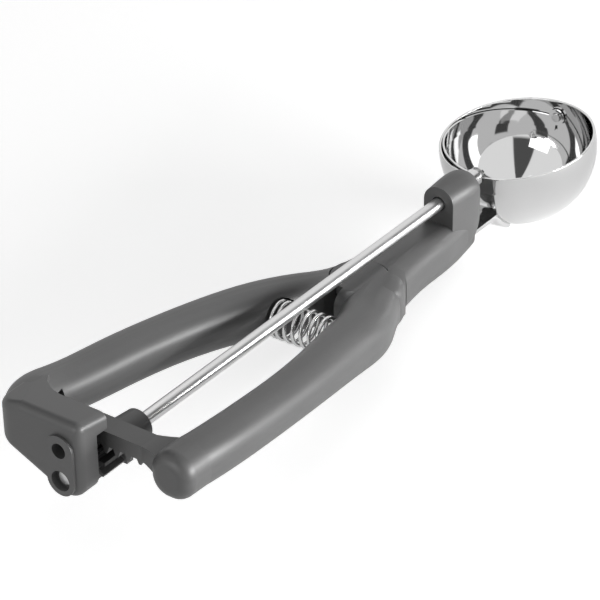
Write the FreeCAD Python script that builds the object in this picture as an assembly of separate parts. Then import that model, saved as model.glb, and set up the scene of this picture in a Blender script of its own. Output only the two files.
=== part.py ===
import FreeCAD, Part
import math
import os

os.makedirs("parts", exist_ok=True)
V = FreeCAD.Vector

# Build frame: mm, X along the spindle towards the bowl, Y to the left grip, Z up,
# zero on the spindle axis at the front face of the rear hub.
# Every solid is moved once, at export, so that the origin lies at the bottom centre
# of the box round the whole scoop.
# The rack is a pitch line that turns about the lever's hinge, so the spindle turns by
# (HINGE_X - RACK_MID) / PITCH_R times the lever's angle.

# spindle, pinion and rack
ROD_R = 2.0
ROD_REAR = -30.4
ROD_FRONT = 167.4
MODULE = 1.1
PINION_TEETH = 9
PITCH_R = MODULE * PINION_TEETH / 2
TIP_R = PITCH_R + MODULE
ROOT_R = PITCH_R - 1.2 * MODULE
PINION_X = (-21.0, -12.6)
BACKLASH = 0.3
RACK_X = (-20.0, -13.5)
RACK_MID = sum(RACK_X) / 2
RACK_ROOT_Z = PITCH_R + 1.25 * MODULE
RACK_BAR_Y = (-17.8, 3.6)
RACK_TEETH = 6
ARM_TOP = 10.9
BORE_PLAY = 0.05
CROSS_PIN_R = 0.8

# lever hinge, square to the spindle
HINGE_X = 102.5
HINGE_TOP = -4.4
HINGE_BOTTOM = -19.8
KNUCKLE_R = 8.6
SEAM_R = 13.7
SEAM_GAP = 0.35
TONGUE = (-16.0, -8.2)
PIN_R = 2.5
PIN_TOP = -6.2
CAP_R = 3.9
CAP_T = 0.8
WASHER_R = 6.0
WASHER_T = 0.6

# grips: rounded oblongs that sink towards the hinge
GRIP_R = 6.2
LEVER_END = (-23.1, -28.4, 6.9, 13.0, 13.8, 6.0)
LEVER_END_ROUND = 3.6

# rear block
BLOCK_REAR = -31.3
BLOCK_FRONT = -24.3
ROOF_FRONT = -20.0
BLOCK_RIGHT = -6.4
BLOCK_ROUND = 5.2
BLOCK_TOP = 18.6
ROOF_FALL = 1.7
BLOCK_EDGE = 2.2
CORNER_R = 6.0
SLANT_END = (22.8, 5.0)
WEB_R = 12.0
SLOT_FRONT = -11.4
SLOT_Z = (3.2, 12.3)
TIP_ROOM_Z = 11.3
PAD_R = 4.5
PAD_RISE = 9.4
RECESS_R = 3.0
PEG_R = 2.25
PEG_DEPTH = 3.6
PLUG_DEPTH = 5.2
PLUG_PROUD = 0.9
HUB_R = 4.7
RING_R = 3.1

# neck and collar
COLLAR_X = (144.4, 159.0)
BUSH_R = 3.2
BRACKET_Z = (-15.4, -14.0)
BRACKET_HALF = 5.2
BRACKET_X = (148.0, 173.0)

# bowl and blade
BOWL_X = 189.5
BOWL_R = 24.8
BOWL_T = 0.8
RIM_Z = 3.0
RIM_PITCH = 0.113
RIM_ROLL = 0.084
BLADE_R = 23.65
BLADE_T = 0.6
BLADE_W = 4.6
BLADE_LIFT = 2.0
POLE_R = 2.7
PIVOT_R = 1.4
PIVOT_HEAD_R = 2.5

# return spring
WIRE_R = 0.6
COIL_R = 5.4
SPRING_X = 74.8
SPRING_Z = -8.3
SPRING_Y = (9.6, -13.2)
COIL_TURNS = 8.5
SEAT_GAP = 0.1


def rod_cyl(r, x0, x1):
    return Part.makeCylinder(r, x1 - x0, V(x0, 0, 0), V(1, 0, 0))


def upright(r, z0, z1, x=HINGE_X, y=0.0):
    return Part.makeCylinder(r, z1 - z0, V(x, y, z0), V(0, 0, 1))


def box(x, y, z):
    return Part.makeBox(x[1] - x[0], y[1] - y[0], z[1] - z[0], V(x[0], y[0], z[0]))


def oblong(cx, cy, cz, w, h, r, heading):
    """Closed rounded outline square to a heading in the XY plane."""
    side = V(-math.sin(heading), math.cos(heading), 0)
    up = V(0, 0, 1)
    mid = V(cx, cy, cz)
    a, b = w / 2 - r, h / 2 - r
    edges = []
    for k in range(4):
        t0 = k * math.pi / 2
        sa = (1, -1, -1, 1)[k]
        sb = (1, 1, -1, -1)[k]
        corner = mid + side * (a * sa) + up * (b * sb)
        p = [corner + side * (r * math.cos(t0 + d)) + up * (r * math.sin(t0 + d))
             for d in (0, math.pi / 4, math.pi / 2)]
        nb = (k + 1) % 4
        na = mid + side * (a * (1, -1, -1, 1)[nb]) + up * (b * (1, 1, -1, -1)[nb])
        nxt = na + side * (r * math.cos(t0 + math.pi / 2)) + up * (r * math.sin(t0 + math.pi / 2))
        edges.append(Part.Arc(*p).toShape())
        edges.append(Part.makeLine(p[2], nxt))
    return Part.Wire(edges)


def grip_loft(stations, square_start=False):
    """Loft through (x, y, z, width, height, corner radius), square to a smooth plan curve."""
    curve = Part.BSplineCurve()
    curve.interpolate([V(st[0], st[1], 0) for st in stations])
    wires = []
    for k, (x, y, z, w, h, r) in enumerate(stations):
        d = curve.tangent(curve.parameter(V(x, y, 0)))[0]
        if square_start and k == 0:
            d = V(1, 0, 0)
        wires.append(oblong(x, y, z, w, h, r, math.atan2(d.y, d.x)))
    return Part.makeLoft(wires, True, False)


LEFT_GRIP = (
    (-25.2, 6.0, 8.4, 11.0, 15.0, 3.0),
    (-24.9, 13.0, 9.2, 11.6, 14.4, 3.6),
    (-21.4, 19.4, 9.4, 12.6, 13.4, 5.0),
    (-14.6, 22.0, 8.0, 13.6, 13.8, 6.0),
    (-5.0, 22.4, 5.6, 14.0, 14.0, GRIP_R),
    (16.0, 22.4, 2.0, 14.0, 14.4, GRIP_R),
    (37.0, 21.8, -1.4, 14.0, 14.6, GRIP_R),
    (57.0, 19.6, -4.7, 14.4, 15.2, GRIP_R),
    (74.0, 15.8, -7.5, 14.8, 16.0, GRIP_R),
    (90.0, 10.2, -10.3, 14.6, 16.0, GRIP_R),
    (104.0, 6.0, -12.2, 13.0, 15.4, GRIP_R),
)
RIGHT_GRIP = (
    (-12.6, -27.75, 5.85, 13.3, 14.1, GRIP_R),
    (8.0, -26.9, 3.1, 13.3, 14.1, GRIP_R),
    (29.0, -24.7, -0.1, 13.3, 14.1, GRIP_R),
    (51.5, -21.3, -3.7, 13.8, 14.7, GRIP_R),
    (72.0, -17.3, -7.3, 15.2, 15.6, GRIP_R),
    (86.0, -13.4, -10.0, 16.4, 15.6, GRIP_R),
    (97.0, -8.2, -11.9, 16.0, 15.6, GRIP_R),
    (106.0, -5.6, -12.3, 15.4, 15.8, GRIP_R),
    (113.5, -3.8, -12.1, 15.2, 15.4, GRIP_R),
)
NECK = (
    (101.0, 11.6, -20.2, HINGE_TOP, 5.6),
    (112.0, 10.4, -20.1, -4.6, 5.6),
    (123.0, 8.8, -20.2, -5.0, 5.5),
    (134.0, 7.8, -20.8, -5.7, 5.2),
    (145.0, 6.6, -21.2, -7.0, 4.3),
    (156.0, 6.0, -19.6, -7.2, 4.0),
)
COLLAR = (
    (COLLAR_X[0], 5.3, -17.5, 5.5, 5.1),
    (149.3, 5.7, -19.8, 5.5, 5.1),
    (154.2, 6.0, -19.8, 5.5, 5.2),
    (COLLAR_X[1], 5.6, -15.2, 4.9, 5.2),
)


def level_loft(sections):
    """Loft of rounded sections square to X: (x, half width, bottom, top, corner radius)."""
    return Part.makeLoft([oblong(x, 0, (low + high) / 2, 2 * half, high - low, r, 0.0)
                          for x, half, low, high, r in sections], True, False)


def neck():
    """Body ahead of the hinge, which sinks under the spindle and narrows towards the bowl."""
    return level_loft(NECK)


def collar():
    """Tall rounded nose that carries the spindle above and the bracket below."""
    return level_loft(COLLAR)


def prism(points, axis_step):
    """Solid between a closed polygon and its copy moved by axis_step."""
    return Part.Face(Part.makePolygon(points + points[:1])).extrude(axis_step)


def rear_block():
    """Gear housing across the rear: round under the spindle, slanting up to the left."""
    r = BLOCK_ROUND
    mid_y = BLOCK_RIGHT + r
    left, tip_z = SLANT_END
    reach = math.hypot(left - mid_y, tip_z)
    turn = math.atan2(tip_z, left - mid_y) - math.acos(r / reach)
    mid_turn = (turn - math.pi) / 2
    foot = V(BLOCK_REAR, mid_y + r * math.cos(turn), r * math.sin(turn))
    low = V(BLOCK_REAR, mid_y + r * math.cos(mid_turn), r * math.sin(mid_turn))
    right = V(BLOCK_REAR, BLOCK_RIGHT, 0)
    top_right = V(BLOCK_REAR, BLOCK_RIGHT, BLOCK_TOP)
    top_left = V(BLOCK_REAR, left, BLOCK_TOP)
    tip = V(BLOCK_REAR, left, tip_z)
    outline = Part.Wire([Part.Arc(right, low, foot).toShape(), Part.makeLine(foot, tip),
                         Part.makeLine(tip, top_left), Part.makeLine(top_left, top_right),
                         Part.makeLine(top_right, right)])
    whole = Part.Face(outline).extrude(V(ROOF_FRONT - BLOCK_REAR, 0, 0))
    whole = round_edges(whole, CORNER_R, lambda e: e.BoundBox.XLength < 0.1 and e.BoundBox.YMin > left - 0.1
                        and e.BoundBox.XMax < BLOCK_REAR + 0.1)
    # the roof falls towards the front and, past the plug, towards the grip
    front_fall = [V(BLOCK_REAR, -60, BLOCK_TOP), V(ROOF_FRONT + 10, -60, BLOCK_TOP - 1.9 * ROOF_FALL),
                  V(ROOF_FRONT + 10, -60, 40), V(BLOCK_REAR, -60, 40)]
    left_fall = [V(-60, 13.0, BLOCK_TOP), V(-60, 25.0, BLOCK_TOP - 3.6), V(-60, 25.0, 40), V(-60, 13.0, 40)]
    over = [prism(front_fall, V(0, 120, 0)), prism(left_fall, V(120, 0, 0))]
    whole = whole.cut(over)

    def outer(e):
        b = e.BoundBox
        rear = b.XMax < BLOCK_REAR + CORNER_R + 0.1 and b.XMin < BLOCK_REAR + 0.1
        right_top = b.XLength > 5 and b.ZMin > ARM_TOP and b.YMax < 0
        return (rear and b.YMin < left - 1) or right_top

    whole = round_edges(whole, BLOCK_EDGE, outer)
    web = box((BLOCK_FRONT, ROOF_FRONT + WEB_R), (8.0, 19.0), (TIP_ROOM_Z, 17.0)).cut(
        upright(WEB_R, 0, 40, ROOF_FRONT + WEB_R, 8.0)).cut(over)
    plate = box((SLOT_FRONT, SLOT_FRONT + 2.6), (-5.0, 18.0), (-4.6, 3.0))
    return whole, [web, plate]


def hub():
    """Tapered boss round the spindle ahead of the pinion."""
    return Part.makeCone(HUB_R + 0.9, HUB_R, -SLOT_FRONT, V(SLOT_FRONT, 0, 0), V(1, 0, 0))


def slot_void():
    """Room for the pinion and the sliding rack, open to the right and below."""
    rack_room = box((BLOCK_FRONT, SLOT_FRONT), (-40, 13.0), SLOT_Z).fuse(
        box((BLOCK_FRONT, SLOT_FRONT), (12.0, 19.6), (SLOT_Z[0], TIP_ROOM_Z)))
    gear_room = box((BLOCK_FRONT, SLOT_FRONT), (-40, TIP_R + 0.9), (-40, SLOT_Z[0] + 0.1))
    return rack_room.fuse(gear_room)


def round_edges(solid, radius, pick):
    chosen = [e for e in solid.Edges if pick(e)]
    return solid.makeFillet(radius, chosen)


def stadium(r, x0, x1, rise):
    low = Part.makeCylinder(r, x1 - x0, V(x0, 0, 0), V(1, 0, 0))
    high = Part.makeCylinder(r, x1 - x0, V(x0, 0, rise), V(1, 0, 0))
    return low.fuse(high).fuse(box((x0, x1), (-r, r), (0, rise))).removeSplitter()


def main_handle():
    """Left grip, gear housing, neck and collar in one moulding."""
    block, extras = rear_block()
    body = block.fuse(extras + [hub(), grip_loft(LEFT_GRIP), neck(), collar()])
    body = body.cut(slot_void())
    # the lever's knuckle and its sweep
    top_room = upright(KNUCKLE_R + SEAM_GAP, TONGUE[1], 0.0)
    low_room = upright(KNUCKLE_R + SEAM_GAP, -30.0, TONGUE[0])
    body = body.cut([top_room, low_room, lever_sweep(), rear_gap()])
    body = body.fuse(upright(KNUCKLE_R - 0.4, *TONGUE))
    plug_room = stadium(PAD_R, BLOCK_REAR - 2, BLOCK_REAR + PLUG_DEPTH, PAD_RISE)
    bracket_slot = box((BRACKET_X[0], COLLAR_X[1] + 2), (-BRACKET_HALF, BRACKET_HALF), BRACKET_Z)
    return body.cut([upright(PIN_R, -30, PIN_TOP), plug_room,
                     rod_cyl(ROD_R + BORE_PLAY, BLOCK_REAR + PLUG_DEPTH - 0.2, 2),
                     rod_cyl(BUSH_R, COLLAR_X[0] + 1.0, COLLAR_X[1] + 1),
                     rod_cyl(ROD_R + 0.35, HINGE_X - 18, COLLAR_X[0] + 2),
                     spring_pocket(SPRING_Y[0] + SEAT_GAP, 1), bracket_slot])


def hinge_wedge(corners):
    """Upright wedge with its edge on the hinge axis; corners are offsets from it."""
    c = V(HINGE_X, 0, -40)
    return prism([c] + [c + V(x, y, 0) for x, y in corners], V(0, 0, 40))


def ray_end(degrees, far=60.0):
    """Offset of a point far from the hinge in one direction."""
    a = math.radians(degrees)
    return far * math.cos(a), far * math.sin(a)


def lever_sweep():
    """Sector right of the hinge that the lever fills and turns through."""
    wedge = hinge_wedge([ray_end(-38.0), (0, -84), (-60, -60), ray_end(-196.0)])
    disc = upright(SEAM_R + SEAM_GAP, -40.0, 0.0)
    return disc.common(wedge).cut(upright(KNUCKLE_R - 0.4, *TONGUE))


def rear_gap():
    """Open crotch between the grips behind the knuckle."""
    wedge = hinge_wedge([(-60, 8.0), (-60, -40), (-8, -40)])
    return wedge.cut(upright(KNUCKLE_R - 0.4, *TONGUE))


def spring_pocket(y, side):
    return Part.makeCylinder(COIL_R + WIRE_R + 0.35, 30, V(SPRING_X, y, SPRING_Z), V(0, -side, 0))


def rack_arm():
    """Arm that carries the rack, flared where it leaves the grip."""
    arm = box(RACK_X, (-27.0, RACK_BAR_Y[1]), (RACK_ROOT_Z, ARM_TOP))
    wires = []
    for y, x, z in ((-17.5, RACK_X, (RACK_ROOT_Z, ARM_TOP)), (-20.6, (-20.6, -12.6), (5.4, 11.1)),
                    (-24.6, (-21.4, -9.6), (3.0, 10.6))):
        corners = [V(x[0], y, z[0]), V(x[1], y, z[0]), V(x[1], y, z[1]), V(x[0], y, z[1])]
        wires.append(Part.makePolygon(corners + corners[:1]))
    return arm.fuse(Part.makeLoft(wires, True, False))


def lever_handle():
    """Right grip with its knuckle and the arm that carries the rack."""
    grip = grip_loft(RIGHT_GRIP, square_start=True)
    sector = upright(SEAM_R, HINGE_BOTTOM, HINGE_TOP)
    sector = round_edges(sector, 4.6, lambda e: e.BoundBox.ZLength < 0.1 and len(e.Vertexes) < 2)
    wedge = hinge_wedge([ray_end(-40.0), (0, -84), (-60, -60), (-60, -2.0)])
    past_seam = box((HINGE_X, HINGE_X + 30), (-40, 20), (-40, 0)).cut(upright(SEAM_R, -40, 0))
    body = grip.fuse([lever_end(), rack_arm(), sector.common(wedge)])
    # leave the neck and the left grip free
    body = body.cut([lever_limits(), past_seam])
    body = body.fuse(upright(KNUCKLE_R, HINGE_BOTTOM, HINGE_TOP))
    fork = upright(KNUCKLE_R, TONGUE[0] - WASHER_T - 0.1, TONGUE[1] + WASHER_T + 0.1)
    cap_room = upright(CAP_R + 0.2, -30, HINGE_BOTTOM)
    return body.cut([fork, upright(PIN_R + BORE_PLAY, -30, PIN_TOP + 0.1), cap_room,
                     spring_pocket(SPRING_Y[1] - SEAT_GAP, -1), rack_bar()])


def lever_limits():
    """Half space left of the hinge line, and all beyond the seam."""
    c = V(HINGE_X, 0, -60)
    pts = [c, c + V(-160, -2.2 * 160 / 60, 0), c + V(-160, 90, 0), c + V(60, 90, 0), c + V(60, -50.3, 0)]
    return prism(pts, V(0, 0, 60))


def lever_end():
    """Rounded rear end of the right grip, on the grip's own outline."""
    wires = [oblong(*station, 0.0) for station in (RIGHT_GRIP[0], LEVER_END)]
    stub = Part.makeLoft(wires, True, True)
    return round_edges(stub, LEVER_END_ROUND, lambda e: e.BoundBox.XMax < LEVER_END[0] + 0.1)


def gear_rack():
    """Teeth under the arm, each radial to the hinge axis."""
    step = 2 * math.pi * PITCH_R / PINION_TEETH / (HINGE_X - RACK_MID)
    half_root = math.pi * MODULE / 4 + 1.25 * MODULE * math.tan(math.radians(20)) - BACKLASH / 2
    half_tip = math.pi * MODULE / 4 - 0.9 * MODULE * math.tan(math.radians(20)) - BACKLASH / 2
    top = RACK_ROOT_Z
    low = PITCH_R - 0.9 * MODULE
    bar = rack_bar()
    teeth = []
    for k in range(RACK_TEETH):
        right = [(half_root, top + 0.4), (half_root, top), (half_tip, low)]
        pts = [V(RACK_X[0], y, z) for y, z in right + [(-y, z) for y, z in reversed(right)]]
        tooth = prism(pts, V(RACK_X[1] - RACK_X[0], 0, 0))
        tooth.rotate(V(HINGE_X, 0, 0), V(0, 0, 1), math.degrees(step * (k - 0.5)))
        teeth.append(tooth)
    return bar.fuse(teeth)


def rack_bar():
    """Strip let into the underside of the arm."""
    return box(RACK_X, RACK_BAR_Y, (RACK_ROOT_Z, RACK_ROOT_Z + 1.2))


def drive_pinion():
    """Nine straight-flanked teeth, one space of which faces the rack at rest."""
    pts = []
    step = 2 * math.pi / PINION_TEETH
    half = math.pi * MODULE / 4 / PITCH_R - BACKLASH / 4 / PITCH_R
    for k in range(PINION_TEETH):
        mid = math.pi / 2 + step * (k)
        for r, d in ((ROOT_R, -1.55 * half), (TIP_R - 0.2, -0.5 * half), (TIP_R - 0.2, 0.5 * half),
                     (ROOT_R, 1.55 * half)):
            pts.append(V(PINION_X[0], r * math.cos(mid + d), r * math.sin(mid + d)))
    gear = prism(pts, V(PINION_X[1] - PINION_X[0], 0, 0))
    return gear.cut([rod_cyl(ROD_R + 0.01, -40, 0), pinion_pin()])


def pinion_pin():
    """Cross pin that keys the pinion to the spindle."""
    x = sum(PINION_X) / 2
    return Part.makeCylinder(CROSS_PIN_R, 2 * ROOT_R - 0.4, V(x, -ROOT_R + 0.2, 0), V(0, 1, 0))


def retaining_ring():
    """Spring ring on the spindle at the hub's front face."""
    return rod_cyl(RING_R, 0.1, 0.9).cut(rod_cyl(ROD_R, -5, 5))


def blade_hub():
    """Collar on the spindle just behind the bowl wall."""
    return rod_cyl(2.9, COLLAR_X[1] + 0.3, BOWL_X - BOWL_R - 0.5).cut(rod_cyl(ROD_R, 100, 200))


def spring_seat(y, side):
    """Stud that centres one end of the coil."""
    stud = Part.makeCylinder(COIL_R - WIRE_R - 0.4, 4.0, V(SPRING_X, y, SPRING_Z), V(0, side, 0))
    return stud


def spring_seat_main():
    return spring_seat(SPRING_Y[0] + SEAT_GAP, -1)


def spring_seat_lever():
    return spring_seat(SPRING_Y[1] - SEAT_GAP, 1)


def bearing_insert():
    """Upright plug in the rear face: spindle bearing below, blind peg hole above."""
    plug = stadium(PAD_R, BLOCK_REAR - PLUG_PROUD, BLOCK_REAR + PLUG_DEPTH, PAD_RISE)
    peg = Part.makeCylinder(PEG_R, 1 + PEG_DEPTH, V(BLOCK_REAR - 1, 0, PAD_RISE), V(1, 0, 0))
    return plug.cut([rod_cyl(RECESS_R, BLOCK_REAR - 2, BLOCK_REAR + 1.4),
                     rod_cyl(ROD_R + BORE_PLAY, BLOCK_REAR, BLOCK_REAR + 6), peg])


def hinge_pin():
    """Pin pressed up through the tongue; its upper end stops short of the knuckle's top."""
    return upright(PIN_R, HINGE_BOTTOM - 0.05, PIN_TOP)


def hinge_cap():
    """Flat head of the pin under the lower knuckle."""
    return upright(CAP_R, HINGE_BOTTOM - 0.05 - CAP_T, HINGE_BOTTOM - 0.05)


def hinge_washers():
    """Two equal washers, above and below the tongue."""
    rings = []
    for z in (TONGUE[0] - WASHER_T, TONGUE[1]):
        rings.append(upright(WASHER_R, z, z + WASHER_T).cut(upright(PIN_R, z - 1, z + 2)))
    return Part.makeCompound(rings)


def spindle_rod():
    return rod_cyl(ROD_R, ROD_REAR, ROD_FRONT).cut(pinion_pin())


def collar_bush():
    """Plain bearing sleeve in the collar."""
    return rod_cyl(BUSH_R, COLLAR_X[0] + 1.0, COLLAR_X[1]).cut(rod_cyl(ROD_R + BORE_PLAY, 100, 200))


def rim_cut():
    n = V(-RIM_PITCH, RIM_ROLL, 1.0)
    n.normalize()
    plane = Part.makeCylinder(60, 60, V(BOWL_X, 0, RIM_Z), n)
    return plane


def bowl():
    c = V(BOWL_X, 0, 0)
    shell = Part.makeSphere(BOWL_R, c).cut(Part.makeSphere(BOWL_R - BOWL_T, c))
    shell = shell.cut(rim_cut())
    near = Part.makeCylinder(ROD_R + 0.4, 12, V(BOWL_X - BOWL_R - 2, 0, 0), V(1, 0, 0))
    notch = box((BOWL_X - BOWL_R - 2, BOWL_X - BOWL_R + 8), (-ROD_R - 0.4, ROD_R + 0.4), (0, 10))
    far = rod_cyl(PIVOT_R, BOWL_X + BOWL_R - 8, BOWL_X + BOWL_R + 4)
    return shell.cut([near, notch, far])


def blade():
    c = V(BOWL_X, 0, 0)
    shell = Part.makeSphere(BLADE_R, c).cut(Part.makeSphere(BLADE_R - BLADE_T, c))
    band = box((100, 300), (0, 60), (-BLADE_W, 0))
    poles = rod_cyl(POLE_R, 100, 300)
    sweep = shell.common(band.fuse(poles))
    sweep.rotate(V(0, 0, 0), V(1, 0, 0), BLADE_LIFT)
    return sweep.cut([rod_cyl(PIVOT_R + 0.1, BOWL_X, 300), rod_cyl(ROD_R, 100, BOWL_X)])


def pivot_pin():
    x = BOWL_X + BOWL_R
    return rod_cyl(PIVOT_R, x - 2.4, x + 0.1).fuse(rod_cyl(PIVOT_HEAD_R, x, x + 0.9))


def return_spring():
    """Compression coil, closed at both ends, drawn through points on its curl."""
    y0, y1 = SPRING_Y
    length = abs(y1 - y0) - 2 * WIRE_R
    per = 8
    n = int(COIL_TURNS * per)
    closed = 1.25
    pitch_end = 2 * WIRE_R + 0.55
    free = COIL_TURNS - 2 * closed
    pitch_mid = (length - 2 * closed * pitch_end) / free
    pts = []
    s = 0.0
    for k in range(n + 1):
        t = k / per
        if k:
            near = min(t, COIL_TURNS - t)
            s += (pitch_end if near < closed else pitch_mid) / per
        a = 2 * math.pi * t
        pts.append(V(SPRING_X + COIL_R * math.cos(a), y0 - WIRE_R - s, SPRING_Z + COIL_R * math.sin(a)))
    least = min((pts[i] - pts[j]).Length for i in range(len(pts)) for j in range(i + per // 2, len(pts)))
    print("spring least gap to itself", round(least - 2 * WIRE_R, 3))
    curve = Part.BSplineCurve()
    curve.interpolate(pts)
    tangent = (pts[1] - pts[0])
    tangent.normalize()
    ring = Part.Wire(Part.makeCircle(WIRE_R, pts[0], tangent))
    return Part.Wire(curve.toShape()).makePipeShell([ring], True, True)


def bowl_bracket():
    """Strap from the neck to a saddle under the bowl's near wall."""
    c = V(BOWL_X, 0, 0)
    core = Part.makeSphere(BOWL_R + 0.01, c)
    strap = box(BRACKET_X, (-BRACKET_HALF, BRACKET_HALF), BRACKET_Z).cut(core)
    shell = Part.makeSphere(BOWL_R + 1.2, c).cut(core)
    saddle = shell.common(box((160, 178), (-BRACKET_HALF, BRACKET_HALF), (-22.0, BRACKET_Z[1])))
    return strap.fuse(saddle)


NODES = {
    "main_handle": main_handle,
    "bearing_insert": bearing_insert,
    "lever_handle": lever_handle,
    "gear_rack": gear_rack,
    "hinge_pin": hinge_pin,
    "hinge_cap": hinge_cap,
    "hinge_washers": hinge_washers,
    "spindle_rod": spindle_rod,
    "drive_pinion": drive_pinion,
    "pinion_pin": pinion_pin,
    "retaining_ring": retaining_ring,
    "blade_hub": blade_hub,
    "collar_bush": collar_bush,
    "bowl": bowl,
    "bowl_bracket": bowl_bracket,
    "blade": blade,
    "pivot_pin": pivot_pin,
    "spring_seat_main": spring_seat_main,
    "spring_seat_lever": spring_seat_lever,
    "return_spring": return_spring,
}


def main():
    shapes = {name: make() for name, make in NODES.items()}
    total = FreeCAD.BoundBox()
    for s in shapes.values():
        total.add(s.BoundBox)
    shift = V(-total.Center.x, -total.Center.y, -total.ZMin)
    print("box", round(total.XLength, 2), round(total.YLength, 2), round(total.ZLength, 2), "shift", shift)
    for name, s in shapes.items():
        s = s.removeSplitter() if name not in ("return_spring",) else s
        s.translate(shift)
        b = s.BoundBox
        print(name, len(s.Solids), s.isValid(), round(s.Volume, 1), [round(v, 1) for v in
              (b.XMin, b.YMin, b.ZMin, b.XMax, b.YMax, b.ZMax)])
        s.exportStep("parts/%s.step" % name)


main()
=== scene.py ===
"""Lever ice cream scoop: finishes, smooth bowl, wire spring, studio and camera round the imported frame."""
import math

import bpy
from bpy.props import FloatProperty, FloatVectorProperty, PointerProperty
from mathutils import Matrix, Vector


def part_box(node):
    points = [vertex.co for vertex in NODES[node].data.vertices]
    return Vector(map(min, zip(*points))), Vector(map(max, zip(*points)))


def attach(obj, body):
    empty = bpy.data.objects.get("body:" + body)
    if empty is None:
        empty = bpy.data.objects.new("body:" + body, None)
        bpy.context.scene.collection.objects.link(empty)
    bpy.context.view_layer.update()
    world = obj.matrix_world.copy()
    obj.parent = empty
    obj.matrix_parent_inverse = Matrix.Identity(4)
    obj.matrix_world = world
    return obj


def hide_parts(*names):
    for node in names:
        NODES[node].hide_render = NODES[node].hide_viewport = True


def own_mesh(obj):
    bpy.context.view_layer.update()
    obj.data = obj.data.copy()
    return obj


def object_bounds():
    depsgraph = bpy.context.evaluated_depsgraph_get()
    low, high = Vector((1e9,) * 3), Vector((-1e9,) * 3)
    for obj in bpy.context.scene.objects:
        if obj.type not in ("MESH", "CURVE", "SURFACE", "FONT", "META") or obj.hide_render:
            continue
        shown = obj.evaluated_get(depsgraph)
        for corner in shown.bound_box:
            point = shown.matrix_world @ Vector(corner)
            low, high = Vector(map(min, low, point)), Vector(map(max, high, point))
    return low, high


bl_info = {
    "name": "Lever Ice Cream Scoop",
    "version": (1, 0, 0),
    "blender": (4, 5, 0),
    "location": "View3D > Sidebar > Scoop",
    "description": "Dresses the packed scoop and sets up its studio",
    "category": "Object",
}

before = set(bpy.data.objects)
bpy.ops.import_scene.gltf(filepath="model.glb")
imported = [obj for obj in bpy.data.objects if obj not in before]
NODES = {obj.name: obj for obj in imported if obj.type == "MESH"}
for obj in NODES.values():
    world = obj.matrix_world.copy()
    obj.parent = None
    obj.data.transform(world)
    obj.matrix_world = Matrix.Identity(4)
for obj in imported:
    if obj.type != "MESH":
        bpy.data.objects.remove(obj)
CAD_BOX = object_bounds()
MM = 0.001

# The hub's front face on the spindle's axis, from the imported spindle, which starts behind it.
SPINDLE_BEHIND_HUB = 30.4 * MM
ROD_LOW, ROD_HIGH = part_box("spindle_rod")
HUB = Vector((ROD_LOW[0] + SPINDLE_BEHIND_HUB, (ROD_LOW[1] + ROD_HIGH[1]) / 2, (ROD_LOW[2] + ROD_HIGH[2]) / 2))

# Bowl: the rim rises a little towards the far end and towards the right, which is -Y.
RIM_NORMAL = Vector((-0.113, 0.084, 1.0)).normalized()
BOWL_SEGMENTS = 160
BOWL_RINGS = 80
LIP_ROUND = 0.25 * MM
LIP_SEGMENTS = 3
LIP_ANGLE = math.radians(50)
HUB_HOLE_R = 2.4 * MM
PIVOT_HOLE_R = 1.4 * MM
DRILL_SIDES = 48
DRILL_LENGTH = 8 * MM
SMOOTH_ANGLE = math.radians(35)

# Return spring: closed turns at each end and the gap between them.
CLOSED_TURNS = 1.25
CLOSED_GAP = 0.55 * MM
POINTS_PER_TURN = 24
WIRE_ROUNDNESS = 4

# Studio: lamps as name, place in metres, size in metres and power in watts.
LAMPS = (
    ("right_softbox", (0.32, -0.93, 0.14), (0.9, 0.28), 19.0),
    ("top_softbox", (0.2, 0.3, 1.0), (0.8, 0.8), 0.8),
    ("rear_softbox", (-0.9, 0.1, 0.3), (0.6, 0.5), 2.4),
)
FLOOR_SIZE = 6.0
FLOOR_WHITE = "F2F2F2"
FLOOR_ROUGHNESS = 0.9
FLOOR_LIFT = 0.55
FLOOR_IN_METAL = 0.3

# What polished metal sees in the air: white panels round the scoop, with dark gaps above the horizon band.
AIR_SOFT = 0.22
CEILING = 0.1
PANELS = 3
PANEL_TURN = 0.5
PANEL_EDGE = (-0.62, -0.5)
HORIZON_EDGE = (0.3, 0.22)

# Camera fitted to the photograph: angles in degrees, distances in mm, focal length in the photograph's pixels.
CAMERA = {"turn": -53.55, "tilt": 31.56, "roll": -0.87, "away": 725.304, "right": -42.95, "up": -32.967,
          "focal": 2722.486}
PHOTO_WIDTH = 600
SENSOR_WIDTH = 36.0
CLIP_START = 0.01


def hex_colour(text):
    """sRGB hex to a linear RGBA tuple."""
    out = []
    for i in (0, 2, 4):
        c = int(text[i:i + 2], 16) / 255
        out.append(c / 12.92 if c <= 0.04045 else ((c + 0.055) / 1.055) ** 2.4)
    return (*out, 1.0)


class ScoopFinish(bpy.types.PropertyGroup):
    """Colours and roughnesses of the finishes."""

    nylon: FloatVectorProperty(name="Nylon colour", description="Moulded handle, lever and rack",
                               subtype="COLOR", size=4, min=0, max=1, default=hex_colour("4E4E4E"))
    gear: FloatVectorProperty(name="Gear colour", description="Pinion and collar bush", subtype="COLOR",
                              size=4, min=0, max=1, default=hex_colour("383838"))
    steel: FloatVectorProperty(name="Steel colour", description="Buffed, ground and drawn steel",
                               subtype="COLOR", size=4, min=0, max=1, default=hex_colour("D4D4D4"))
    nylon_roughness: FloatProperty(name="Nylon roughness", description="Satin of the handle's mould",
                                   default=0.42, min=0, max=1, subtype="FACTOR")
    gear_roughness: FloatProperty(name="Gear roughness", description="Satin of the gears' mould",
                                  default=0.36, min=0, max=1, subtype="FACTOR")
    polish: FloatProperty(name="Bowl roughness", description="Buffed steel", default=0.05, min=0, max=1,
                          subtype="FACTOR")


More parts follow.
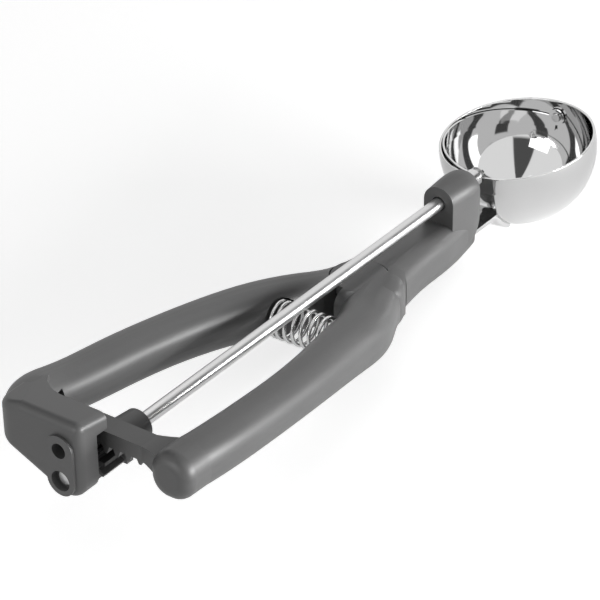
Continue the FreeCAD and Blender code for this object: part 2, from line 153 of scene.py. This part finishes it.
class ScoopBowl(bpy.types.PropertyGroup):
    """Size and place of the bowl."""

    radius: FloatProperty(name="Radius", description="Outside radius", default=24.8 * MM, unit="LENGTH")
    wall: FloatProperty(name="Wall", description="Sheet thickness", default=0.8 * MM, unit="LENGTH")
    middle: FloatProperty(name="Middle", description="Centre ahead of the hub", default=189.5 * MM,
                          unit="LENGTH")
    rim: FloatProperty(name="Rim", description="Rim above the spindle's axis", default=3.0 * MM,
                       unit="LENGTH")


class ScoopSpring(bpy.types.PropertyGroup):
    """The return spring's wire."""

    wire: FloatProperty(name="Wire", description="Wire diameter", default=1.2 * MM, unit="LENGTH")
    mean: FloatProperty(name="Coil", description="Mean coil radius", default=5.4 * MM, unit="LENGTH")
    turns: FloatProperty(name="Turns", description="Turns from end to end", default=8.5)


def add_node(tree, kind, settings=(), links=()):
    """Adds a node; settings are socket values or attributes, links are (source socket, input name or index)."""
    node = tree.nodes.new(kind)
    for name, value in dict(settings).items():
        if isinstance(name, int) or name in node.inputs:
            node.inputs[name].default_value = value
        else:
            setattr(node, name, value)
    for source, target in links:
        tree.links.new(source, node.inputs[target])
    return node


def new_material(name):
    """An empty material, its tree and output node, and the Object coordinates."""
    material = bpy.data.materials.new(name)
    material.use_nodes = True
    tree = material.node_tree
    tree.nodes.clear()
    output = add_node(tree, "ShaderNodeOutputMaterial")
    place = add_node(tree, "ShaderNodeTexCoord")
    return material, tree, output, place.outputs["Object"]


# Noise scales are in waves per metre: 2600 is a grain of about 0.4 mm, coarser than real so that it shows,
# 1500 a tool mark of about 0.7 mm, also coarser than real, and 60 and 90 are cloudy patches of 17 and 11 mm.
NYLON_GRAIN = 2600.0
NYLON_CLOUD = 60.0
STEEL_MARKS = 1500.0
STEEL_SMEAR = 90.0
NYLON_SHADE = (0.92, 1.08)
SATIN_SPREAD = (-0.05, 0.06)
SMEAR_SPREAD = (0.7, 1.5)
NYLON_IOR = 1.53
NYLON_BUMP = 0.12
NYLON_BUMP_DEPTH = 0.06 * MM
STEEL_BUMP_DEPTH = 0.02 * MM
BUFFED_BUMP = 0.02
GROUND_BUMP = 0.1
DRAWN_BUMP = 0.08
GROUND_ROUGHNESS = 0.28
DRAWN_ROUGHNESS = 0.22
EVEN = (1.0, 1.0, 1.0)
ROUND_THE_BAR = (1.0, 0.05, 0.05)


def moulded_nylon(name, colour, roughness):
    """Glass-filled nylon from a spark-eroded mould: a fine even grain that breaks the gloss."""
    material, tree, output, place = new_material(name)
    grain = add_node(tree, "ShaderNodeTexNoise", {"Scale": NYLON_GRAIN, "Detail": 2.0}, [(place, "Vector")])
    cloud = add_node(tree, "ShaderNodeTexNoise", {"Scale": NYLON_CLOUD, "Detail": 3.0}, [(place, "Vector")])
    shade = add_node(tree, "ShaderNodeMapRange", {"To Min": NYLON_SHADE[0], "To Max": NYLON_SHADE[1]},
                     [(cloud.outputs["Fac"], "Value")])
    tint = add_node(tree, "ShaderNodeMix",
                    {"data_type": "RGBA", "blend_type": "MULTIPLY", "Factor": 1.0, 6: colour},
                    [(shade.outputs["Result"], 7)])
    rough = add_node(tree, "ShaderNodeMapRange",
                     {"To Min": roughness + SATIN_SPREAD[0], "To Max": roughness + SATIN_SPREAD[1]},
                     [(cloud.outputs["Fac"], "Value")])
    bump = add_node(tree, "ShaderNodeBump", {"Strength": NYLON_BUMP, "Distance": NYLON_BUMP_DEPTH},
                    [(grain.outputs["Fac"], "Height")])
    shader = add_node(tree, "ShaderNodeBsdfPrincipled", {"IOR": NYLON_IOR},
                      [(tint.outputs[2], "Base Color"), (rough.outputs["Result"], "Roughness"),
                       (bump.outputs["Normal"], "Normal")])
    tree.links.new(shader.outputs["BSDF"], output.inputs["Surface"])
    return material


def worked_steel(name, colour, roughness, stretch, strength):
    """Stainless steel; stretch squeezes the noise along the tool marks, in the frame's axes."""
    material, tree, output, place = new_material(name)
    turn = add_node(tree, "ShaderNodeMapping", {"Scale": stretch}, [(place, "Vector")])
    marks = add_node(tree, "ShaderNodeTexNoise", {"Scale": STEEL_MARKS, "Detail": 3.0},
                     [(turn.outputs["Vector"], "Vector")])
    smear = add_node(tree, "ShaderNodeTexNoise", {"Scale": STEEL_SMEAR, "Detail": 3.0}, [(place, "Vector")])
    rough = add_node(tree, "ShaderNodeMapRange",
                     {"To Min": roughness * SMEAR_SPREAD[0], "To Max": roughness * SMEAR_SPREAD[1]},
                     [(smear.outputs["Fac"], "Value")])
    bump = add_node(tree, "ShaderNodeBump", {"Strength": strength, "Distance": STEEL_BUMP_DEPTH},
                    [(marks.outputs["Fac"], "Height")])
    shader = add_node(tree, "ShaderNodeBsdfPrincipled", {"Base Color": colour, "Metallic": 1.0},
                      [(rough.outputs["Result"], "Roughness"), (bump.outputs["Normal"], "Normal")])
    tree.links.new(shader.outputs["BSDF"], output.inputs["Surface"])
    return material


def finish(name):
    """The scoop's finishes by name, each made once."""
    if name in bpy.data.materials:
        return bpy.data.materials[name]
    props = bpy.context.scene.scoop_finish
    steel = tuple(props.steel)
    if name == "handle_nylon_moulded":
        return moulded_nylon(name, tuple(props.nylon), props.nylon_roughness)
    if name == "gear_nylon_moulded":
        return moulded_nylon(name, tuple(props.gear), props.gear_roughness)
    if name == "stainless_buffed":
        return worked_steel(name, steel, props.polish, EVEN, BUFFED_BUMP)
    if name == "stainless_ground_bar":
        # centreless grinding leaves fine marks round the bar, drawn coarser than real so that they show
        return worked_steel(name, steel, GROUND_ROUGHNESS, ROUND_THE_BAR, GROUND_BUMP)
    if name == "stainless_drawn":
        return worked_steel(name, steel, DRAWN_ROUGHNESS, EVEN, DRAWN_BUMP)
    raise ValueError(name)


def paint(piece, name):
    """Makes one finish the only material of a piece."""
    piece.data.materials.clear()
    piece.data.materials.append(finish(name))


def dress(nodes, name):
    """Puts one finish on CAD nodes, and leaves their meshes alone."""
    for node in nodes:
        paint(NODES[node], name)


def pick(piece):
    """Makes one piece the only selected and the active one."""
    bpy.ops.object.select_all(action="DESELECT")
    piece.select_set(True)
    bpy.context.view_layer.objects.active = piece


class SCOOP_OT_handle(bpy.types.Operator):
    """Fixed handle with its bearing plug and spring seat, the collar's bush and the hinge."""

    bl_idname = "scoop.handle"
    bl_label = "Handle"

    def execute(self, context):
        dress(["main_handle", "bearing_insert", "spring_seat_main"], "handle_nylon_moulded")
        dress(["collar_bush"], "gear_nylon_moulded")
        dress(["hinge_pin", "hinge_cap", "hinge_washers"], "stainless_drawn")
        return {"FINISHED"}


class SCOOP_OT_lever(bpy.types.Operator):
    """Squeeze lever with its rack and spring seat."""

    bl_idname = "scoop.lever"
    bl_label = "Lever"

    def execute(self, context):
        dress(["lever_handle", "spring_seat_lever", "gear_rack"], "handle_nylon_moulded")
        return {"FINISHED"}


class SCOOP_OT_spindle(bpy.types.Operator):
    """Spindle, pinion and their small steel parts."""

    bl_idname = "scoop.spindle"
    bl_label = "Spindle"

    def execute(self, context):
        dress(["spindle_rod"], "stainless_ground_bar")
        dress(["drive_pinion"], "gear_nylon_moulded")
        dress(["pinion_pin", "retaining_ring", "blade_hub"], "stainless_drawn")
        return {"FINISHED"}


def drill_along_spindle(piece, name, place, radius):
    """Cuts a round hole that runs along the spindle's axis through a wall at place."""
    bpy.ops.object.select_all(action="DESELECT")
    bpy.ops.mesh.primitive_cylinder_add(vertices=DRILL_SIDES, radius=radius, depth=DRILL_LENGTH,
                                        location=place, rotation=(0, math.pi / 2, 0))
    drill = bpy.context.object
    cut = piece.modifiers.new(name, "BOOLEAN")
    cut.operation = "DIFFERENCE"
    cut.solver = "EXACT"
    cut.object = drill
    pick(piece)
    bpy.ops.object.modifier_apply(modifier=name)
    bpy.data.objects.remove(drill)


class SCOOP_OT_bowl(bpy.types.Operator):
    """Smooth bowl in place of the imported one, with its bracket, the blade and the far pivot."""

    bl_idname = "scoop.bowl"
    bl_label = "Bowl and blade"

    def execute(self, context):
        dress(["bowl", "blade", "bowl_bracket"], "stainless_buffed")
        dress(["pivot_pin"], "stainless_drawn")
        props = context.scene.scoop_bowl
        middle = HUB + Vector((props.middle, 0, 0))
        reach = Vector((props.radius, 0, 0))
        bpy.ops.object.select_all(action="DESELECT")
        bpy.ops.mesh.primitive_uv_sphere_add(segments=BOWL_SEGMENTS, ring_count=BOWL_RINGS,
                                             radius=props.radius, location=middle)
        shell = context.object
        shell.name = "bowl_shell"
        bpy.ops.object.mode_set(mode="EDIT")
        bpy.ops.mesh.select_all(action="SELECT")
        bpy.ops.mesh.bisect(plane_co=middle + Vector((0, 0, props.rim)), plane_no=RIM_NORMAL,
                            clear_outer=True, use_fill=False)
        bpy.ops.object.mode_set(mode="OBJECT")
        wall = shell.modifiers.new("wall", "SOLIDIFY")
        wall.thickness = props.wall
        wall.offset = -1
        lip = shell.modifiers.new("lip", "BEVEL")
        lip.width = LIP_ROUND
        lip.segments = LIP_SEGMENTS
        lip.angle_limit = LIP_ANGLE
        bpy.ops.object.modifier_apply(modifier="wall")
        bpy.ops.object.modifier_apply(modifier="lip")
        drill_along_spindle(shell, "hub_hole", middle - reach, HUB_HOLE_R)
        drill_along_spindle(shell, "pivot_hole", middle + reach, PIVOT_HOLE_R)
        bpy.ops.object.transform_apply(location=True, rotation=True, scale=True)
        bpy.ops.object.shade_smooth_by_angle(angle=SMOOTH_ANGLE)
        paint(shell, "stainless_buffed")
        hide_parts("bowl")
        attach(shell, "handle")
        return {"FINISHED"}


class SCOOP_OT_spring(bpy.types.Operator):
    """Return spring wound from drawn wire, with closed turns at both ends."""

    bl_idname = "scoop.spring"
    bl_label = "Return spring"

    def execute(self, context):
        props = context.scene.scoop_spring
        low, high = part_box("return_spring")
        wire_r = props.wire / 2
        mid_x, mid_z = (low[0] + high[0]) / 2, (low[2] + high[2]) / 2
        closed_pitch = props.wire + CLOSED_GAP
        length = high[1] - low[1] - props.wire
        pitch = (length - 2 * CLOSED_TURNS * closed_pitch) / (props.turns - 2 * CLOSED_TURNS)
        run = 0.0
        points = []
        for k in range(int(props.turns * POINTS_PER_TURN) + 1):
            turn = k / POINTS_PER_TURN
            if k:
                at_an_end = min(turn, props.turns - turn) < CLOSED_TURNS
                run += (closed_pitch if at_an_end else pitch) / POINTS_PER_TURN
            angle = 2 * math.pi * turn
            points.append((mid_x + props.mean * math.cos(angle), high[1] - wire_r - run,
                           mid_z + props.mean * math.sin(angle), 1.0))
        curve = bpy.data.curves.new("return_coil", "CURVE")
        curve.dimensions = "3D"
        curve.bevel_depth = wire_r
        curve.bevel_resolution = WIRE_ROUNDNESS
        curve.use_fill_caps = True
        line = curve.splines.new("POLY")
        line.points.add(len(points) - 1)
        for point, co in zip(line.points, points):
            point.co = co
        coil = bpy.data.objects.new("return_coil", curve)
        context.scene.collection.objects.link(coil)
        pick(coil)
        bpy.ops.object.convert(target="MESH")
        bpy.ops.object.shade_smooth()
        coil = context.object
        paint(coil, "stainless_drawn")
        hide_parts("return_spring")
        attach(coil, "handle")
        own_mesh(coil)
        return {"FINISHED"}


def studio_air():
    """White air to the camera; polished metal sees white panels with dark gaps between them overhead."""
    world = bpy.data.worlds.new("studio_air")
    world.use_nodes = True
    tree = world.node_tree
    tree.nodes.clear()
    rays = add_node(tree, "ShaderNodeLightPath")
    place = add_node(tree, "ShaderNodeTexCoord")
    axes = add_node(tree, "ShaderNodeSeparateXYZ", {}, [(place.outputs["Generated"], "Vector")])
    turn = add_node(tree, "ShaderNodeMath", {"operation": "ARCTAN2"},
                    [(axes.outputs["Y"], 0), (axes.outputs["X"], 1)])
    sectors = add_node(tree, "ShaderNodeMath", {"operation": "MULTIPLY_ADD", 1: PANELS, 2: PANEL_TURN},
                       [(turn.outputs[0], 0)])
    wave = add_node(tree, "ShaderNodeMath", {"operation": "SINE"}, [(sectors.outputs[0], 0)])
    panel = add_node(tree, "ShaderNodeMapRange", {"From Min": PANEL_EDGE[0], "From Max": PANEL_EDGE[1]},
                     [(wave.outputs[0], "Value")])
    low = add_node(tree, "ShaderNodeMapRange", {"From Min": HORIZON_EDGE[0], "From Max": HORIZON_EDGE[1]},
                   [(axes.outputs["Z"], "Value")])
    bright = add_node(tree, "ShaderNodeMath", {"operation": "MAXIMUM"},
                      [(panel.outputs["Result"], 0), (low.outputs["Result"], 1)])
    shown = add_node(tree, "ShaderNodeMapRange", {"To Min": CEILING, "To Max": 1.0},
                     [(bright.outputs[0], "Value")])
    metal = add_node(tree, "ShaderNodeMapRange", {"To Min": AIR_SOFT},
                     [(rays.outputs["Is Glossy Ray"], "Value"), (shown.outputs["Result"], "To Max")])
    seen = add_node(tree, "ShaderNodeMath", {"operation": "MAXIMUM"},
                    [(metal.outputs["Result"], 0), (rays.outputs["Is Camera Ray"], 1)])
    air = add_node(tree, "ShaderNodeBackground", {"Color": (1, 1, 1, 1)}, [(seen.outputs[0], "Strength")])
    end = add_node(tree, "ShaderNodeOutputWorld")
    tree.links.new(air.outputs["Background"], end.inputs["Surface"])
    return world


def floor_card():
    """Matt white card, lifted towards white for the camera and less for polished metal."""
    material, tree, output, _ = new_material("studio_card")
    shader = add_node(tree, "ShaderNodeBsdfPrincipled",
                      {"Base Color": hex_colour(FLOOR_WHITE), "Roughness": FLOOR_ROUGHNESS})
    rays = add_node(tree, "ShaderNodeLightPath")
    metal = add_node(tree, "ShaderNodeMath", {"operation": "MULTIPLY", 1: FLOOR_IN_METAL},
                     [(rays.outputs["Is Glossy Ray"], 0)])
    lift = add_node(tree, "ShaderNodeMath", {"operation": "MULTIPLY_ADD", 1: FLOOR_LIFT},
                    [(rays.outputs["Is Camera Ray"], 0), (metal.outputs[0], 2)])
    glow = add_node(tree, "ShaderNodeEmission", {}, [(lift.outputs[0], "Strength")])
    both = add_node(tree, "ShaderNodeAddShader", {},
                    [(shader.outputs["BSDF"], 0), (glow.outputs["Emission"], 1)])
    tree.links.new(both.outputs["Shader"], output.inputs["Surface"])
    return material


def photo_camera(scene):
    """The camera at the photograph's angle, aimed past the hub by the fitted offsets."""
    turn, tilt, roll = (math.radians(CAMERA[key]) for key in ("turn", "tilt", "roll"))
    back = Vector((math.sin(turn) * math.cos(tilt), -math.cos(turn) * math.cos(tilt), math.sin(tilt)))
    right = Vector((0, 0, 1)).cross(back).normalized()
    up = back.cross(right)
    right, up = (math.cos(roll) * right + math.sin(roll) * up, math.cos(roll) * up - math.sin(roll) * right)
    place = HUB + (back * CAMERA["away"] - right * CAMERA["right"] - up * CAMERA["up"]) * MM
    data = bpy.data.cameras.new("photo_camera")
    data.sensor_width = SENSOR_WIDTH
    data.lens = CAMERA["focal"] * SENSOR_WIDTH / PHOTO_WIDTH
    data.clip_start = CLIP_START
    camera = bpy.data.objects.new("photo_camera", data)
    camera.matrix_world = Matrix((
        (right.x, up.x, back.x, place.x), (right.y, up.y, back.y, place.y),
        (right.z, up.z, back.z, place.z), (0, 0, 0, 1)))
    scene.collection.objects.link(camera)
    scene.camera = camera


class SCOOP_OT_stage(bpy.types.Operator):
    """Floor, lamps, world and the camera at the photograph's angle."""

    bl_idname = "scoop.stage"
    bl_label = "Studio"

    def execute(self, context):
        bpy.ops.object.select_all(action="DESELECT")
        bpy.ops.mesh.primitive_plane_add(size=FLOOR_SIZE, location=(0, 0, CAD_BOX[0][2]))
        floor = context.object
        floor.name = "studio_floor"
        floor.data.materials.append(floor_card())
        for name, place, size, power in LAMPS:
            light = bpy.data.lights.new(name, "AREA")
            light.shape = "RECTANGLE"
            light.size, light.size_y = size
            light.energy = power
            lamp = bpy.data.objects.new(name, light)
            lamp.location = place
            lamp.rotation_euler = (-Vector(place)).to_track_quat("-Z", "Y").to_euler()
            context.scene.collection.objects.link(lamp)
        context.scene.world = studio_air()
        photo_camera(context.scene)
        context.scene.view_settings.view_transform = "Standard"
        return {"FINISHED"}


class SCOOP_PT_panel(bpy.types.Panel):
    """The scoop's sizes, colours and pieces in the sidebar."""

    bl_idname = "SCOOP_PT_panel"
    bl_label = "Lever Ice Cream Scoop"
    bl_space_type = "VIEW_3D"
    bl_region_type = "UI"
    bl_category = "Scoop"

    def draw(self, context):
        for group in (context.scene.scoop_finish, context.scene.scoop_bowl, context.scene.scoop_spring):
            for name in group.__annotations__:
                self.layout.prop(group, name)
        for step in STEPS:
            self.layout.operator(step.bl_idname)


STEPS = (SCOOP_OT_handle, SCOOP_OT_lever, SCOOP_OT_spindle, SCOOP_OT_bowl, SCOOP_OT_spring, SCOOP_OT_stage)
CLASSES = (ScoopFinish, ScoopBowl, ScoopSpring, *STEPS, SCOOP_PT_panel)


def register():
    for cls in CLASSES:
        bpy.utils.register_class(cls)
    bpy.types.Scene.scoop_finish = PointerProperty(type=ScoopFinish)
    bpy.types.Scene.scoop_bowl = PointerProperty(type=ScoopBowl)
    bpy.types.Scene.scoop_spring = PointerProperty(type=ScoopSpring)


def unregister():
    del bpy.types.Scene.scoop_finish
    del bpy.types.Scene.scoop_bowl
    del bpy.types.Scene.scoop_spring
    for cls in reversed(CLASSES):
        bpy.utils.unregister_class(cls)


def main():
    register()
    bpy.ops.scoop.handle()
    bpy.ops.scoop.lever()
    bpy.ops.scoop.spindle()
    bpy.ops.scoop.bowl()
    bpy.ops.scoop.spring()
    bpy.ops.scoop.stage()


if __name__ == "__main__":
    main()
